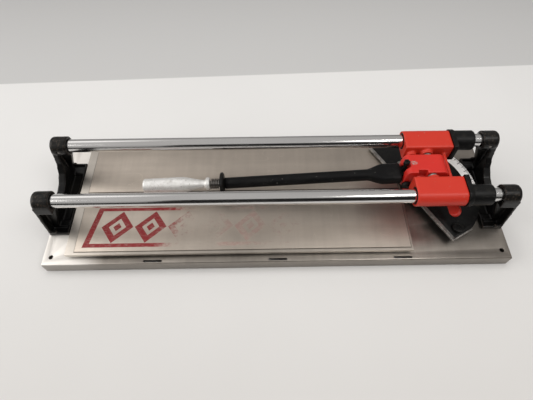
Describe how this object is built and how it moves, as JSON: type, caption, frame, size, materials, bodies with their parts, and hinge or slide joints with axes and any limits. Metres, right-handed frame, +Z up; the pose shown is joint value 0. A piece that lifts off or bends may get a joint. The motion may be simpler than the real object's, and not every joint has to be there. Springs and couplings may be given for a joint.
{
  "type": "manual tile cutter",
  "caption": "Manual twin-rail tile cutter: a sheet-steel base with sprung work plates, two chromed rails, a sliding red carriage with scoring wheel, breaker and long handle, and an angle stop.",
  "frame": {"origin": "on the ground, under the middle of the base tray", "axes": "+X along the rails towards the angle stop, +Y to the rear, +Z up"},
  "size_m": [0.69, 0.2288, 0.1094],
  "materials": {
    "base_steel": "brushed sheet steel, worn",
    "facing_steel": "brushed facing sheet with a worn red print",
    "dark_steel": "oiled dark steel",
    "zinc_steel": "zinc plated",
    "black_casting": "glossy black enamel",
    "rubber": "matt rubber",
    "chrome": "polished chrome plate",
    "black_nylon": "moulded black nylon",
    "aluminium": "turned aluminium, scuffed",
    "red_paint": "red powder coat, worn on the edges",
    "black_paint": "satin black paint",
    "scale_face": "off-white scale with printed ticks"
  },
  "bodies": {
    "frame": {"base_tray": "base_steel", "breaking_rib": "dark_steel", "protractor_post": "zinc_steel", "protractor_screw": "dark_steel", "left_bracket": "black_casting", "right_bracket": "black_casting", "front_rail": "chrome", "rear_rail": "chrome", "front_edge_pad": "rubber", "rear_edge_pad": "rubber", "front_left_rubber_foot": "rubber", "front_left_bracket_bolt": "dark_steel", "front_left_rail_screw": "dark_steel", "front_left_plate_spring": "dark_steel", "rear_left_rubber_foot": "rubber", "rear_left_bracket_bolt": "dark_steel", "rear_left_rail_screw": "dark_steel", "rear_left_plate_spring": "dark_steel", "front_right_rubber_foot": "rubber", "front_right_bracket_bolt": "dark_steel", "front_right_rail_screw": "dark_steel", "front_right_plate_spring": "dark_steel", "rear_right_rubber_foot": "rubber", "rear_right_bracket_bolt": "dark_steel", "rear_right_rail_screw": "dark_steel", "rear_right_plate_spring": "dark_steel"},
    "front_plate": {"front_work_plate": "base_steel", "front_plate_facing": "facing_steel"},
    "rear_plate": {"rear_work_plate": "base_steel", "rear_plate_facing": "facing_steel"},
    "carriage": {"carriage_body": "red_paint", "pivot_pin": "chrome", "front_guide_bush": "black_nylon", "front_end_bush": "black_nylon", "front_pivot_washer": "aluminium", "rear_guide_bush": "black_nylon", "rear_end_bush": "black_nylon", "rear_pivot_washer": "aluminium"},
    "lever": {"swivel_block": "red_paint", "wheel_holder": "dark_steel", "wheel_axle": "zinc_steel", "breaker_pin": "zinc_steel", "handle_bolt": "dark_steel", "handle_bolt_nut": "black_nylon", "handle_lock_screw": "black_nylon", "handle_tube": "black_paint", "grip_flange": "black_nylon", "grip_spring": "dark_steel", "core_rod": "zinc_steel"},
    "scoring_wheel": {"scoring_wheel": "chrome"},
    "breaker": {"breaker_foot": "red_paint"},
    "grip": {"grip": "aluminium"},
    "protractor": {"protractor_plate": "black_paint", "protractor_scale": "scale_face", "fence": "aluminium"},
    "protractor_knob": {"protractor_knob": "black_nylon"}
  },
  "joints": [
    {"name": "carriage_slide", "type": "slide", "parent": "frame", "child": "carriage", "axis": [1, 0, 0], "range_m": [-0.503, 0.012]},
    {"name": "handle_swing", "type": "hinge", "parent": "carriage", "child": "lever", "pos_m": [0.225, 0, 0.095], "axis": [0, 1, 0], "range_deg": [0, 80]},
    {"name": "scoring_wheel_spin", "type": "hinge", "parent": "lever", "child": "scoring_wheel", "pos_m": [0.23456, 0, 0.05001], "axis": [0, 1, 0], "continuous": true},
    {"name": "breaker_rock", "type": "hinge", "parent": "lever", "child": "breaker", "pos_m": [0.25258, 0, 0.06742], "axis": [0.7071, 0, 0.7071], "range_deg": [-6, 6]},
    {"name": "grip_slide", "type": "slide", "parent": "lever", "child": "grip", "axis": [0.9995, 0, 0.0332], "range_m": [0, 0.004], "stiffness_N_per_m": 1500, "deforming": ["grip_spring"]},
    {"name": "front_plate_tilt", "type": "hinge", "parent": "frame", "child": "front_plate", "pos_m": [-0.055, -0.095, 0.0302], "axis": [-1, 0, 0], "range_deg": [0, 2], "stiffness_Nm_per_rad": 60, "deforming": ["front_left_plate_spring", "front_right_plate_spring"]},
    {"name": "rear_plate_tilt", "type": "hinge", "parent": "frame", "child": "rear_plate", "pos_m": [-0.055, 0.095, 0.0302], "axis": [1, 0, 0], "range_deg": [0, 2], "stiffness_Nm_per_rad": 60, "deforming": ["rear_left_plate_spring", "rear_right_plate_spring"]},
    {"name": "protractor_swing", "type": "hinge", "parent": "frame", "child": "protractor", "pos_m": [0.216, 0, 0.035], "axis": [0, 0, 1], "range_deg": [-29.1, 15.9]},
    {"name": "protractor_knob_turn", "type": "hinge", "parent": "protractor", "child": "protractor_knob", "pos_m": [0.27016, -0.0716, 0.038], "axis": [0, 0, 1], "range_deg": [0, 270]}
  ]
}
